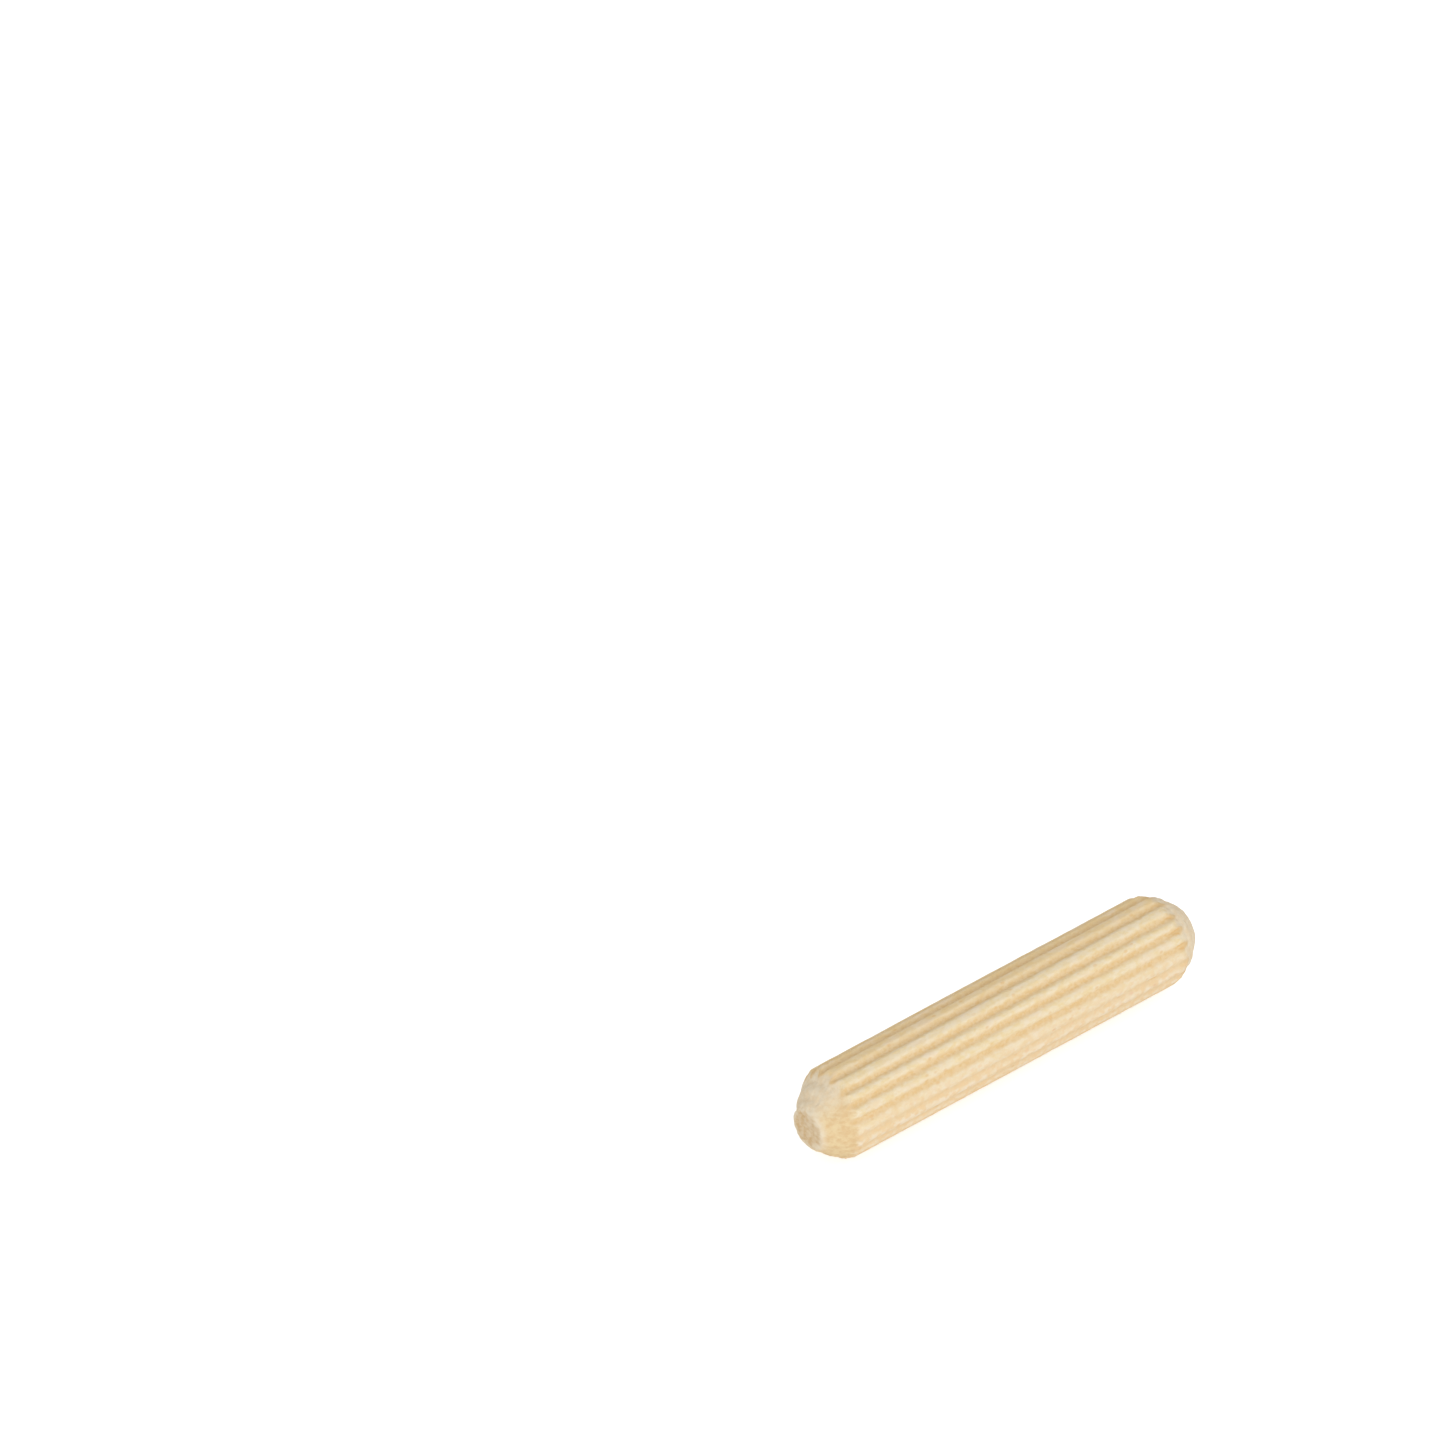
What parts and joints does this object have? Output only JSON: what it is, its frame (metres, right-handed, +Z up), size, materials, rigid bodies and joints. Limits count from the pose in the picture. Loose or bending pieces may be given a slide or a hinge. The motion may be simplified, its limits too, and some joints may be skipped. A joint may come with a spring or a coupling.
{
  "type": "fluted wooden dowel pin",
  "caption": "Wooden dowel pin with straight lengthwise flutes and tapered ends, pressed and glued into drilled holes to join two boards.",
  "frame": {"origin": "middle of the pin's axis", "axes": "+X along the pin's axis, +Z up as the pin lies on a flat surface, with one flute straight down and one straight up"},
  "size_m": [0.04, 0.008, 0.008],
  "materials": {
    "bare_wood": "bare, matt, pale hardwood with fine lengthwise grain and rougher end grain on the tapers"
  },
  "bodies": {
    "root": {"dowel_pin": "bare_wood"}
  },
  "joints": []
}
